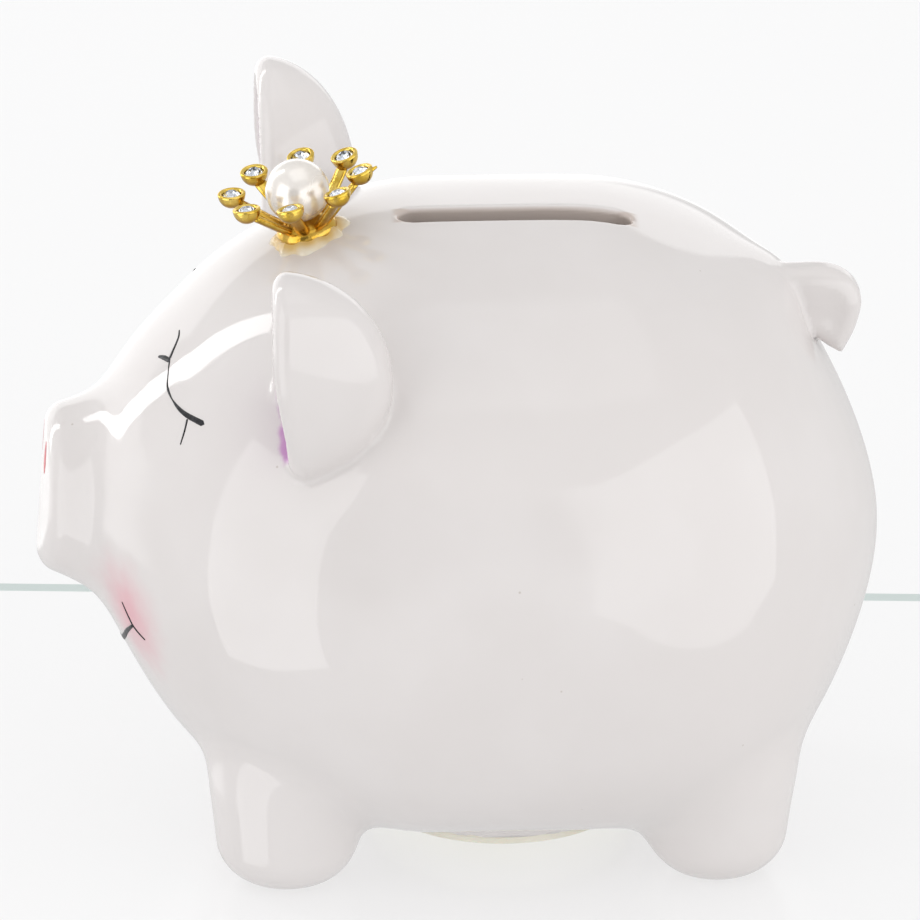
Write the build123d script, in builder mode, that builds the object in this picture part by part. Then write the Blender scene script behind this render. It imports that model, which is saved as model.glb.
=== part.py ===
"""Glazed ceramic pig money bank with a cast jewelled crown and a soft base stopper.

Frame: the sole faces stand on Z = 0, the pig looks along -Y, its left side is +X,
and the origin is below the middle of its length. All sizes are in millimetres.
"""

from build123d import *
import os
from math import cos, sin, radians, pi

os.makedirs("parts", exist_ok=True)

# ------------------------------------------------------------------ body
BODY_WIDEST_Y = 2.0  # the fullest cross-section
BODY_FRONT_Y = -62.0  # where the egg would close, inside the snout
BODY_REAR_Y = 65.5
BODY_HALF_HEIGHT = 49.0
BODY_HALF_WIDTH = 52.4
BODY_CENTRE_Z = 52.4
HEAD_RISE = 2.8  # the axis climbs a little towards the snout
RUMP_DROP = 3.0  # and falls towards the rump
HEAD_POWER = 3.0  # how late the head starts to narrow
HEAD_TAPER = 0.86  # and how straight it then runs to the snout
RUMP_POWER = 4.9
RUMP_TAPER = 4.75
RUMP_ROUND = 0.35  # share of the section where the rump turns over
RUMP_NARROWING = 0.08  # share of the width lost towards the rump
WALL = 4.0  # slip-cast wall
SECTION_POINTS = 28

# ------------------------------------------------------------------ snout and legs
SNOUT_FACE_Y = -64.8
SNOUT_Z = 56.8
SNOUT_RADIUS = 12.4
SNOUT_ROOT_Y = -51.0
SNOUT_ROOT_Z = 54.6
SNOUT_ROOT_RADIUS = 17.6
SNOUT_TILT = 4.0  # degrees, the face looks slightly upwards
SNOUT_EDGE = 2.2
SNOUT_POCKET_RADIUS = 8.0
SNOUT_POCKET_DEPTH = 12.0
LEG_EDGE = 6.2  # big round at the sole
KNEE_Z = 17.0  # where a leg starts to run into the belly
SHOULDER_Z = 36.0
SHOULDER_RADIUS = 8.0
SHOULDER_SHIFT = 8.0  # towards the middle of the body, both ways
LEG_WALL = 4.6
# name: (x, y, radius above the sole, radius at the knee, way towards the middle in y)
LEGS = {"front": (23.5, -27.5, 10.3, 12.2, 1), "rear": (23.0, 39.5, 10.0, 12.4, -1)}

# ------------------------------------------------------------------ openings
SLOT_LENGTH = 36.0
SLOT_WIDTH = 5.0
SLOT_Y = 9.0
HOLE_Y = 7.0
HOLE_RADIUS = 17.5
COLLAR_RADIUS = 22.0
COLLAR_Z = 5.0
COLLAR_THICKNESS = 4.2

# ------------------------------------------------------------------ ears and tail
EAR_CENTRE = (40.6, -29.8, 90.0)
RIGHT_EAR_SETBACK = 0.8  # the hand-finished right ear is a little narrower
EAR_TILT = 14.5  # degrees outwards
EAR_HALF_WIDTH = 10.5
EAR_DEPTH = 17.8
RIGHT_EAR_DEPTH = 14.6
EAR_RISE = 20.4  # from the ear's fullest level up to its tip
EAR_LOBE = 17.2  # and down to its lobe
EAR_RIM = 2.3
TAIL_THICKNESS = 6.0
TAIL_TOP_Z = 91.6
TAIL_ROOT_Y = 46.0  # inside the rump, where the flap starts
TAIL_TIP = (60.0, 76.7)
TAIL_CREASE = (55.4, 79.3)  # where the underside meets the rump

# ------------------------------------------------------------------ crown
CROWN_FOOT = (1.2, -23.2, 99.1)  # glued a little off the middle
CROWN_TILT = 13.0  # degrees towards the snout
CROWN_BASE_RADIUS = 4.8
CROWN_BASE_HEIGHT = 2.2
PRONGS = 8
PRONG_PHASE = -7.0
CUP_RING_RADIUS = 10.2
CUP_RIM_HEIGHT = 8.5
CUP_RADIUS = 2.15
CUP_LEAN = 8.0  # degrees, the stones look slightly inwards
ARM_WIDTH = 2.2
ARM_THICKNESS = 1.1
ARM_FOOT_RADIUS = 3.2
ARM_FOOT_HEIGHT = 1.2
ARM_TOP_RADIUS = 9.3
ARM_TOP_HEIGHT = 6.9
PEARL_RADIUS = 5.0
PEARL_HEIGHT = 7.2
PEG_RADIUS = 0.55
STONE_RADIUS = 1.4
STONE_TABLE_RADIUS = 0.85
STONE_CROWN = 0.45
STONE_PAVILION = 1.05
STONE_TIP_RADIUS = 0.3
STONE_SINK = 0.1  # the girdle sits just under the cup's rim
STONE_PLAY = 0.03
GLUE_RADIUS = 6.3
GLUE_DEPTH = 2.5

# ------------------------------------------------------------------ stopper
FLANGE_RADIUS = 20.0
FLANGE_THICKNESS = 2.0
FLANGE_ROUND = 0.8
NECK_RADIUS = 16.9
BEAD_RADIUS = 17.44  # a running fit in the hole
NECK_HEIGHT = 8.0
NECK_WALL = 2.2
DISH_RADIUS = 13.0
DISH_DEPTH = 0.6


def smooth_step(value):
    """0 to 1 with level ends."""
    value = min(max(value, 0.0), 1.0)
    return value * value * (3.0 - 2.0 * value)


def centre_height(y):
    """Height of the body's axis at a station."""
    rise = HEAD_RISE * smooth_step((-42.0 - y) / 15.0)
    drop = RUMP_DROP * smooth_step((y - 19.0) / 41.0)
    return BODY_CENTRE_Z + rise - drop


def section_power(y):
    """Superellipse exponent: round at the head, slightly square from the middle on."""
    return 2.0 + 0.3 * smooth_step((y + 25.0) / 20.0)


def fullness(y, inset):
    """Share of the full cross-section at a station, 1 at the widest."""
    if y < BODY_WIDEST_Y:
        t = (BODY_WIDEST_Y - y) / (BODY_WIDEST_Y - BODY_FRONT_Y - inset)
        return (1.0 - t**HEAD_POWER) ** HEAD_TAPER
    t = (y - BODY_WIDEST_Y) / (BODY_REAR_Y - inset - BODY_WIDEST_Y)
    pole = (RUMP_ROUND**2) ** (1.0 / RUMP_TAPER)
    full = (1.0 + RUMP_ROUND**2) ** (1.0 / RUMP_TAPER)
    square = (pole + (full - pole) * (1.0 - t**RUMP_POWER)) ** RUMP_TAPER
    return (square - RUMP_ROUND**2) ** 0.5


def section_outline(y, inset):
    """Closed ring of points of the body's cross-section, inset from the outer skin."""
    share = fullness(y, inset)
    narrowing = 1.0 - RUMP_NARROWING * smooth_step((y - 20.0) / 40.0)
    width = (BODY_HALF_WIDTH * narrowing - inset) * share
    height = (BODY_HALF_HEIGHT - inset) * share
    power = section_power(y)
    ring = []
    for k in range(SECTION_POINTS):
        angle = 2.0 * pi * k / SECTION_POINTS
        c, s = cos(angle), sin(angle)
        reach = (abs(c) ** power + abs(s) ** power) ** (-1.0 / power)
        ring.append((width * reach * c, height * reach * s))
    return ring


def station_plane(y):
    """Upright plane across the body, its origin on the body's axis."""
    return Plane(origin=(0, y, centre_height(y)), x_dir=(1, 0, 0), z_dir=(0, -1, 0))


def leg_spans(side, leg):
    """The leg's two spans, sole to knee and knee to shoulder, as pairs of circles."""
    leg_x, leg_y, sole_radius, knee_radius, inwards = leg
    sole = ((side * leg_x, leg_y), 0.0, sole_radius)
    knee = ((side * leg_x, leg_y), KNEE_Z, knee_radius)
    shoulder = (side * (leg_x - SHOULDER_SHIFT), leg_y + inwards * SHOULDER_SHIFT)
    return (sole, knee), (knee, (shoulder, SHOULDER_Z, SHOULDER_RADIUS))


OUTER_STATIONS = (-59, -56, -52, -46, -38, -28, -15, 0, 15, 28, 38, 46, 52, 57, 61, 63.6, 65.2)
INNER_STATIONS = (-55, -52, -47, -40, -30, -16, 0, 15, 28, 37, 44, 50, 54.5, 58, 60.5)

snout_plane = Plane(
    origin=(0, SNOUT_FACE_Y, SNOUT_Z),
    x_dir=(1, 0, 0),
    z_dir=(0, cos(radians(SNOUT_TILT)), -sin(radians(SNOUT_TILT))),
)

# ------------------------------------------------------------------ the solid outer form
with BuildPart() as body_form:
    for leg in LEGS.values():
        for side in (-1, 1):
            for span in leg_spans(side, leg):
                for centre, height, radius in span:
                    with BuildSketch(Plane.XY.offset(height)):
                        with Locations(centre):
                            Circle(radius)
                loft()
    sole_rims = body_form.edges().filter_by(GeomType.CIRCLE).group_by(Axis.Z)[0]
    fillet(sole_rims, LEG_EDGE)
    for station in OUTER_STATIONS:
        with BuildSketch(station_plane(station)):
            with BuildLine():
                Spline(*section_outline(station, 0.0), periodic=True)
            make_face()
    loft()
    with BuildSketch(snout_plane):
        Circle(SNOUT_RADIUS)
    with BuildSketch(Plane(origin=(0, SNOUT_ROOT_Y, SNOUT_ROOT_Z), z_dir=(0, 1, 0))):
        Circle(SNOUT_ROOT_RADIUS)
    loft()
    face_rim = body_form.edges().filter_by(GeomType.CIRCLE).sort_by(Axis.Y)[0]
    fillet(face_rim, SNOUT_EDGE)

# ------------------------------------------------------------------ the hollow shell
with BuildPart() as body_shell:
    add(body_form.part)
    for station in INNER_STATIONS:
        with BuildSketch(station_plane(station)):
            with BuildLine():
                Spline(*section_outline(station, WALL), periodic=True)
            make_face()
    loft(mode=Mode.SUBTRACT)
    with BuildSketch(snout_plane.offset(WALL)):
        Circle(SNOUT_POCKET_RADIUS)
    extrude(amount=SNOUT_POCKET_DEPTH, mode=Mode.SUBTRACT)
    for leg_x, leg_y, sole_radius, knee_radius, inwards in LEGS.values():
        for side in (-1, 1):
            with BuildSketch(Plane.XY.offset(LEG_WALL)):
                with Locations((side * leg_x, leg_y)):
                    Circle(sole_radius - LEG_WALL)
            with BuildSketch(Plane.XY.offset(KNEE_Z)):
                with Locations((side * (leg_x - 2), leg_y + 2 * inwards)):
                    Circle(knee_radius - LEG_WALL)
            loft(mode=Mode.SUBTRACT)
    # the moulded collar around the base hole
    with BuildSketch(Plane.XY.offset(COLLAR_Z)):
        with Locations((0, HOLE_Y)):
            Circle(COLLAR_RADIUS)
    extrude(amount=COLLAR_THICKNESS)
    with BuildSketch(Plane.XY):
        with Locations((0, HOLE_Y)):
            Circle(COLLAR_RADIUS)
    extrude(amount=COLLAR_Z, mode=Mode.SUBTRACT)
    with BuildSketch(Plane.XY):
        with Locations((0, HOLE_Y)):
            Circle(HOLE_RADIUS)
    extrude(amount=BODY_HALF_HEIGHT / 2, mode=Mode.SUBTRACT)
    with BuildSketch(Plane.XY.offset(BODY_CENTRE_Z)):
        with Locations((0, SLOT_Y)):
            SlotOverall(SLOT_LENGTH, SLOT_WIDTH, rotation=90)
    extrude(amount=2 * BODY_HALF_HEIGHT, mode=Mode.SUBTRACT)
body_shell.part.label = "body_shell"
export_step(body_shell.part, "parts/body_shell.step")

# ------------------------------------------------------------------ ears
ear_lean = radians(EAR_TILT)


def ear_form(rim, depth, setback):
    """An ear's full form less a rim all round: a high half above a short one."""
    across = (EAR_HALF_WIDTH - rim, depth - 2.0 * rim)
    high = scale(Sphere(1.0), by=(*across, EAR_RISE - 1.6 * rim))
    low = scale(Sphere(1.0), by=(*across, EAR_LOBE - rim))
    high = split(high, bisect_by=Plane.XY, keep=Keep.TOP)
    low = split(low, bisect_by=Plane.XY, keep=Keep.BOTTOM)
    ear_plane = Plane(
        origin=(EAR_CENTRE[0], EAR_CENTRE[1] + setback, EAR_CENTRE[2]),
        x_dir=(cos(ear_lean), 0, -sin(ear_lean)),
        z_dir=(sin(ear_lean), 0, cos(ear_lean)),
    )
    return ear_plane.location * (high + low)


left_blank = ear_form(0.0, EAR_DEPTH, 0.0)
left_scoop = ear_form(EAR_RIM, EAR_DEPTH, 0.0)
right_blank = mirror(ear_form(0.0, RIGHT_EAR_DEPTH, RIGHT_EAR_SETBACK), about=Plane.YZ)
right_scoop = mirror(ear_form(EAR_RIM, RIGHT_EAR_DEPTH, RIGHT_EAR_SETBACK), about=Plane.YZ)

with BuildPart() as ear_left:
    add(left_blank)
    split(bisect_by=Plane.XZ.offset(-EAR_CENTRE[1]), keep=Keep.BOTTOM)
    add(left_scoop, mode=Mode.SUBTRACT)
    add(body_form.part, mode=Mode.SUBTRACT)
ear_left.part.label = "ear_left"
export_step(ear_left.part, "parts/ear_left.step")

with BuildPart() as ear_right:
    add(right_blank)
    split(bisect_by=Plane.XZ.offset(-EAR_CENTRE[1] - RIGHT_EAR_SETBACK), keep=Keep.BOTTOM)
    add(right_scoop, mode=Mode.SUBTRACT)
    add(body_form.part, mode=Mode.SUBTRACT)
ear_right.part.label = "ear_right"
export_step(ear_right.part, "parts/ear_right.step")

# ------------------------------------------------------------------ tail
with BuildPart() as tail:
    with BuildSketch(Plane.YZ):
        with BuildLine():
            top_edge = Line((TAIL_ROOT_Y, TAIL_TOP_Z), (58.6, TAIL_TOP_Z))
            bend = ThreePointArc(top_edge @ 1, (61.9, 90.2), (63.0, 86.6))
            back_edge = Spline(
                bend @ 1, (62.2, 82.0), TAIL_TIP, tangents=(bend % 1, (-0.4, -1.0))
            )
            under_edge = Line(back_edge @ 1, TAIL_CREASE)
            Polyline(under_edge @ 1, (TAIL_ROOT_Y, TAIL_CREASE[1]), top_edge @ 0)
        make_face()
    extrude(amount=TAIL_THICKNESS / 2, both=True)
    add(body_form.part, mode=Mode.SUBTRACT)
tail.part.label = "tail"
export_step(tail.part, "parts/tail.step")

# ------------------------------------------------------------------ crown
crown_lean = radians(CROWN_TILT)
crown_plane = Plane(
    origin=CROWN_FOOT,
    x_dir=(0, cos(crown_lean), sin(crown_lean)),
    z_dir=(0, -sin(crown_lean), cos(crown_lean)),
)


def prong_angle(index):
    """Direction of a prong around the crown's axis, from the rear one."""
    return radians(PRONG_PHASE + 360.0 * index / PRONGS)


def crown_point(angle, radius, height):
    """A point given by its direction, distance and height on the crown's axis."""
    local = Vector(radius * cos(angle), radius * sin(angle), height)
    return crown_plane.from_local_coords(local)


def cup_plane(index):
    """Plane of a cup's rim, its normal leaning towards the crown's axis."""
    angle = prong_angle(index)
    lean = radians(CUP_LEAN)
    centre = crown_point(angle, CUP_RING_RADIUS, CUP_RIM_HEIGHT)
    ahead = crown_point(
        angle, CUP_RING_RADIUS - sin(lean), CUP_RIM_HEIGHT + cos(lean)
    )
    outwards = crown_point(
        angle, CUP_RING_RADIUS + cos(lean), CUP_RIM_HEIGHT + sin(lean)
    )
    return Plane(origin=centre, x_dir=outwards - centre, z_dir=ahead - centre)


def arm_plane(index):
    """Plane across an arm at its foot, looking up along the arm."""
    angle = prong_angle(index)
    foot = crown_point(angle, ARM_FOOT_RADIUS, ARM_FOOT_HEIGHT)
    top = crown_point(angle, ARM_TOP_RADIUS, ARM_TOP_HEIGHT)
    aside = crown_point(angle + pi / 2, 1.0, 0.0) - crown_point(0, 0.0, 0.0)
    return Plane(origin=foot, x_dir=aside, z_dir=top - foot)


arm_length = (
    (ARM_TOP_RADIUS - ARM_FOOT_RADIUS) ** 2 + (ARM_TOP_HEIGHT - ARM_FOOT_HEIGHT) ** 2
) ** 0.5

with BuildPart() as crown_frame:
    with BuildSketch(crown_plane):
        Circle(CROWN_BASE_RADIUS)
    extrude(amount=CROWN_BASE_HEIGHT)
    chamfer(crown_frame.edges().filter_by(GeomType.CIRCLE).sort_by(Axis.Z)[-1], 0.3)
    with BuildSketch(crown_plane):
        Circle(PEG_RADIUS)
    extrude(amount=PEARL_HEIGHT)
    for prong in range(PRONGS):
        with BuildSketch(arm_plane(prong)):
            Rectangle(ARM_WIDTH, ARM_THICKNESS)
        extrude(amount=arm_length)
    for prong in range(PRONGS):
        rim = cup_plane(prong)
        with BuildSketch(Plane(origin=rim.origin, x_dir=rim.x_dir, z_dir=-rim.y_dir)):
            with BuildLine():
                bowl_side = CenterArc((0, 0), CUP_RADIUS, -90, 90)
                Polyline(bowl_side @ 1, (0, 0), bowl_side @ 0)
            make_face()
        revolve(axis=Axis(rim.origin, rim.z_dir))
    for prong in range(PRONGS):
        rim = cup_plane(prong)
        with BuildSketch(Plane(origin=rim.origin, x_dir=rim.x_dir, z_dir=-rim.y_dir)):
            with BuildLine():
                Polyline(
                    (0, STONE_CROWN),
                    (STONE_RADIUS + STONE_PLAY, STONE_CROWN),
                    (STONE_RADIUS + STONE_PLAY, -STONE_SINK),
                    (STONE_TIP_RADIUS + STONE_PLAY, -STONE_SINK - STONE_PAVILION),
                    (0, -STONE_SINK - STONE_PAVILION),
                    close=True,
                )
            make_face()
        revolve(axis=Axis(rim.origin, rim.z_dir), mode=Mode.SUBTRACT)
crown_frame.part.label = "crown_frame"
export_step(crown_frame.part, "parts/crown_frame.step")

# ------------------------------------------------------------------ pearl and rhinestones
with BuildPart() as pearl:
    with Locations(crown_plane.offset(PEARL_HEIGHT).location):
        Sphere(PEARL_RADIUS)
    with BuildSketch(crown_plane):
        Circle(PEG_RADIUS + STONE_PLAY)
    extrude(amount=PEARL_HEIGHT, mode=Mode.SUBTRACT)
pearl.part.label = "pearl"
export_step(pearl.part, "parts/pearl.step")

for prong in range(PRONGS):
    girdle = cup_plane(prong).offset(-STONE_SINK)
    with BuildPart() as rhinestone:
        with BuildSketch(girdle):
            RegularPolygon(STONE_RADIUS, 8)
        with BuildSketch(girdle.offset(STONE_CROWN)):
            RegularPolygon(STONE_TABLE_RADIUS, 8)
        loft(ruled=True)
        with BuildSketch(girdle):
            RegularPolygon(STONE_RADIUS, 8)
        with BuildSketch(girdle.offset(-STONE_PAVILION)):
            RegularPolygon(STONE_TIP_RADIUS, 8)
        loft(ruled=True)
    rhinestone.part.label = f"rhinestone_{prong + 1}"
    export_step(rhinestone.part, f"parts/rhinestone_{prong + 1}.step")

# ------------------------------------------------------------------ clear glue under the crown
with BuildPart() as crown_adhesive:
    with BuildSketch(crown_plane):
        Circle(GLUE_RADIUS)
    extrude(amount=-GLUE_DEPTH)
    add(body_form.part, mode=Mode.SUBTRACT)
crown_adhesive.part.label = "crown_adhesive"
export_step(crown_adhesive.part, "parts/crown_adhesive.step")

# ------------------------------------------------------------------ stopper
flange_bottom = COLLAR_Z - FLANGE_THICKNESS
neck_top = COLLAR_Z + NECK_HEIGHT

with BuildPart() as stopper:
    with BuildSketch(Plane(origin=(0, HOLE_Y, 0), x_dir=(1, 0, 0), z_dir=(0, -1, 0))):
        with BuildLine():
            Polyline(
                (0, flange_bottom + DISH_DEPTH),
                (DISH_RADIUS, flange_bottom + DISH_DEPTH),
                (DISH_RADIUS + DISH_DEPTH, flange_bottom),
                (FLANGE_RADIUS, flange_bottom),
                (FLANGE_RADIUS, COLLAR_Z),
                (NECK_RADIUS, COLLAR_Z),
                (NECK_RADIUS, neck_top - 3.0),
                (BEAD_RADIUS, neck_top - 2.0),
                (NECK_RADIUS, neck_top),
                (NECK_RADIUS - NECK_WALL, neck_top),
                (NECK_RADIUS - NECK_WALL, COLLAR_Z + DISH_DEPTH),
                (0, COLLAR_Z + DISH_DEPTH),
                close=True,
            )
        make_face()
    revolve(axis=Axis((0, HOLE_Y, 0), (0, 0, 1)))
    flange_edges = stopper.edges().filter_by(GeomType.CIRCLE).sort_by(SortBy.RADIUS)[-2:]
    fillet(flange_edges, FLANGE_ROUND)
stopper.part.label = "stopper"
export_step(stopper.part, "parts/stopper.step")
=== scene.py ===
from math import cos, pi, radians, sin

import bpy
import numpy as np
from mathutils import Matrix, Vector


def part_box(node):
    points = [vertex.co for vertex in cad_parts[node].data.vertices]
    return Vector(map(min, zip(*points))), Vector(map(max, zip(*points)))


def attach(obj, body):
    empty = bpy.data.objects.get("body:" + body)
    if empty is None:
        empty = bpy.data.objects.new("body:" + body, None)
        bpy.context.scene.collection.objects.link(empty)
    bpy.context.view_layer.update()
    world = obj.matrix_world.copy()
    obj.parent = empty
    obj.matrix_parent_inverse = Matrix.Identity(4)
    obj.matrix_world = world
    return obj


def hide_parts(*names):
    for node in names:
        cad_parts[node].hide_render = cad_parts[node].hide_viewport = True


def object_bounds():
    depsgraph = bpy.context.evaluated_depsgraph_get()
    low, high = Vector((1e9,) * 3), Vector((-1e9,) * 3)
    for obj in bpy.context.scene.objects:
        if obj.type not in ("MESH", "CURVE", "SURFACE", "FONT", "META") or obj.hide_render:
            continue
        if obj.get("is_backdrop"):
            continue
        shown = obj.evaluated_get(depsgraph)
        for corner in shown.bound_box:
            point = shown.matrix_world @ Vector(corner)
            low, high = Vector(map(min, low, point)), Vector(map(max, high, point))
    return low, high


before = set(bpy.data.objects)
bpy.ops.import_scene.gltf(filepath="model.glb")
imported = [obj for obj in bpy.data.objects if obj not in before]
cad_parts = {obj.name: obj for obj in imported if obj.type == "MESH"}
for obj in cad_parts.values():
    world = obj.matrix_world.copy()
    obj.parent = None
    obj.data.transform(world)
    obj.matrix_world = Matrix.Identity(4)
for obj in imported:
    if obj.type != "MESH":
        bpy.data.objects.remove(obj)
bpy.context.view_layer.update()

MM = 0.001  # the geometry is worked out in millimetres of the shared frame


def box_mm(node):
    """Lowest and highest corner of a CAD node, in millimetres."""
    low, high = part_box(node)
    return np.array(low) / MM, np.array(high) / MM


# ------------------------------------------------------------------ the pig's form
BODY_WIDEST = 2.0
BODY_FRONT = -62.0
BODY_REAR = 65.5
HALF_HEIGHT = 49.0
HALF_WIDTH = 52.4
CENTRE_Z = 52.4
HEAD_TAPER, HEAD_POWER = 0.86, 3.0
RUMP_TAPER, RUMP_POWER, RUMP_ROUND = 2.375, 4.9, 0.35
WALL = 4.0
# x and y of its middle, radius at the sole and at the knee, way towards the middle of the pig
FRONT_LEG = (23.5, -27.5, 10.3, 12.2, 1.0)
REAR_LEG = (23.0, 39.5, 10.0, 12.4, -1.0)
KNEE_Z = 17.0
SNOUT_FACE = (-64.8, 56.8)
SNOUT_RADIUS = 12.4
SNOUT_FLARE = 0.36
SNOUT_TILT = radians(4.0)
EAR_CENTRE = (40.6, -29.8, 90.0)
EAR_TILT = radians(14.5)
RIGHT_EAR_NARROWER, RIGHT_EAR_SETBACK = 3.2, 0.8
SLOT = (9.0, 15.5, 2.5)  # middle in y, half length between the end arcs, half width
stopper_low, stopper_high = box_mm("stopper")
HOLE_Y = 0.5 * (stopper_low[1] + stopper_high[1])
FLANGE_RADIUS = 0.5 * (stopper_high[0] - stopper_low[0])
HOLE_RADIUS = 17.5
RECESS_RADIUS = 22.0
RECESS_TOP = 5.0
glue_low, glue_high = box_mm("crown_adhesive")
GLUE_MIDDLE = 0.5 * (glue_low + glue_high)


def ease(t):
    t = np.clip(t, 0.0, 1.0)
    return t * t * (3.0 - 2.0 * t)


def blend_min(a, b, width):
    """Union with a soft fillet."""
    h = np.clip(width - np.abs(a - b), 0.0, None) / width
    return np.minimum(a, b) - h * h * h * width / 6.0


def round_max(a, b, radius):
    """Intersection with a round edge."""
    u = np.maximum(a + radius, 0.0)
    v = np.maximum(b + radius, 0.0)
    inner = np.minimum(np.maximum(a + radius, b + radius), 0.0)
    return inner + np.sqrt(u * u + v * v) - radius


def as_distance(form, x, y, z, step=0.05):
    """A form's value over its slope, which is close to a distance near its surface."""
    value = form(x, y, z)
    gx = form(x + step, y, z) - form(x - step, y, z)
    gy = form(x, y + step, z) - form(x, y - step, z)
    gz = form(x, y, z + step) - form(x, y, z - step)
    slope = np.sqrt(gx * gx + gy * gy + gz * gz) / (2.0 * step)
    return value / np.maximum(slope, 1e-3)


def body_form(x, y, z):
    """Egg-shaped trunk: a superellipse section carried from the rump to the head."""
    power = 2.0 + 0.3 * ease((y + 25.0) / 20.0)
    wide = HALF_WIDTH * (1.0 - 0.08 * ease((y - 20.0) / 40.0))
    middle = CENTRE_Z - 3.0 * ease((y - 19.0) / 41.0) + 2.8 * ease((-42.0 - y) / 15.0)
    share = (np.abs(x) / wide) ** power + (np.abs(z - middle) / HALF_HEIGHT) ** power
    share = share ** (1.0 / power)
    ahead = np.clip((BODY_WIDEST - y) / (BODY_WIDEST - BODY_FRONT), 0.0, None)
    behind = np.clip((y - BODY_WIDEST) / (BODY_REAR - BODY_WIDEST), 0.0, None)
    head = HEAD_TAPER * (share ** (1.0 / HEAD_TAPER) + ahead**HEAD_POWER - 1.0)
    turn, pole = 0.5 / RUMP_TAPER, RUMP_ROUND**2
    low, high = pole**turn, (1.0 + pole) ** turn
    rump = ((share**2 + pole) ** turn - low) / (high - low) + behind**RUMP_POWER - 1.0
    rump = RUMP_TAPER * rump
    return np.where(y < BODY_WIDEST, head, rump)


def trunk_form(x, y, z):
    """Distance to the trunk, which swells a little where the tail is joined on."""
    swell = 3.2 * np.exp(-((x / 14.0) ** 2) - ((y - 52.0) / 8.0) ** 2 - ((z - 91.0) / 8.0) ** 2)
    flatter = 1.2 * np.exp(-((x / 22.0) ** 2) - ((y - 34.0) / 10.0) ** 2 - ((z - 99.0) / 9.0) ** 2)
    return as_distance(body_form, x, y, z) - swell + flatter


def leg_form(x, y, z, leg_x, leg_y, sole, knee, inwards):
    """A stubby leg that leans into the belly above the knee."""
    lean = np.clip(z - 14.0, 0.0, None) ** 2 * 0.022
    reach = np.hypot(x + lean - leg_x, y - inwards * lean - leg_y)
    slope = (knee - sole) / KNEE_Z
    side = (reach - (sole + slope * z)) / np.sqrt(1.0 + slope * slope)
    return round_max(round_max(side, -z, 6.2), z - 32.0, 9.0)


def legs_form(x, y, z):
    ax = np.abs(x)
    return np.minimum(leg_form(ax, y, z, *FRONT_LEG), leg_form(ax, y, z, *REAR_LEG))


def snout_form(x, y, z):
    dy, dz = y - SNOUT_FACE[0], z - SNOUT_FACE[1]
    depth = dy * cos(SNOUT_TILT) - dz * sin(SNOUT_TILT) - 0.008 * x * x
    reach = np.hypot(x, dy * sin(SNOUT_TILT) + dz * cos(SNOUT_TILT))
    side = (reach - (SNOUT_RADIUS + SNOUT_FLARE * depth)) / np.sqrt(1.0 + SNOUT_FLARE**2)
    return round_max(round_max(side, -depth, 2.2), depth - 14.0, 3.0)


def ear_coordinates(x, y, z):
    """Across, behind and along the ear, from the middle of its fullest level."""
    dx, dz = np.abs(x) - EAR_CENTRE[0], z - EAR_CENTRE[2]
    across = dx * cos(EAR_TILT) - dz * sin(EAR_TILT)
    along = dx * sin(EAR_TILT) + dz * cos(EAR_TILT)
    return across, y - EAR_CENTRE[1] - np.where(x < 0.0, RIGHT_EAR_SETBACK, 0.0), along


def egg(across, behind, along, width, depth, rise, lobe, power):
    """A form with a high pointed half above a short round one."""
    waist = np.sqrt((across / width) ** 2 + (behind / depth) ** 2) + 1e-9
    high = (waist**power + (np.clip(along, 0.0, None) / rise) ** power) ** (1.0 / power)
    low = np.sqrt(waist * waist + (np.clip(-along, 0.0, None) / lobe) ** 2)
    return np.where(along > 0.0, high, low) - 1.0


def ear_blank(x, y, z):
    across, behind, along = ear_coordinates(x, y, z)
    depth = 15.2 - np.where(x < 0.0, RIGHT_EAR_NARROWER, 0.0)
    return egg(across, behind, along, 7.6, depth, 17.2, 14.2, 2.0)


def ear_scoop(x, y, z):
    across, behind, along = ear_coordinates(x, y, z)
    depth = 12.8 - np.where(x < 0.0, RIGHT_EAR_NARROWER, 0.0)
    return egg(across, behind + 1.0, along - 0.2, 7.9, depth, 16.2, 13.6, 2.0)


def ear_form(x, y, z):
    across, behind, _ = ear_coordinates(x, y, z)
    swept_back = 0.0040 * np.clip(101.0 - z, 0.0, None) ** 2
    turned = across * (-0.02 + 0.09 * ease((96.0 - z) / 14.0))
    front = -(behind + 0.6 - swept_back - turned)
    blank = round_max(as_distance(ear_blank, x, y, z) - 3.0, front, 2.6)
    return round_max(blank, -as_distance(ear_scoop, x, y, z), 1.1)


def smooth_curve(points, samples):
    """A curve through the points, evenly sampled in its parameter."""
    points = np.asarray(points, float)
    ends = [2 * points[0] - points[1], *points, 2 * points[-1] - points[-2]]
    out = []
    for t in np.linspace(0.0, len(points) - 1.0, samples):
        k = min(int(t), len(points) - 2)
        s = t - k
        a, b, c, d = ends[k], ends[k + 1], ends[k + 2], ends[k + 3]
        bend, twist = 2 * a - 5 * b + 4 * c - d, 3 * b - a - 3 * c + d
        out.append(0.5 * (2 * b + (c - a) * s + bend * s**2 + twist * s**3))
    return np.array(out)


# y and z: along the top from the root to the tip, then back below through the crease
TAIL_TOP = [(46.0, 91.3), (52.0, 91.7), (57.6, 91.6), (61.2, 89.8)]
TAIL_TOP += [(62.9, 86.2), (62.0, 81.4), (59.9, 76.9)]
TAIL_UNDERSIDE = [(57.8, 78.2), (55.6, 79.9), (46.0, 80.2)]
TAIL_OUTLINE = np.concatenate([smooth_curve(TAIL_TOP, 30), TAIL_UNDERSIDE])


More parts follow.
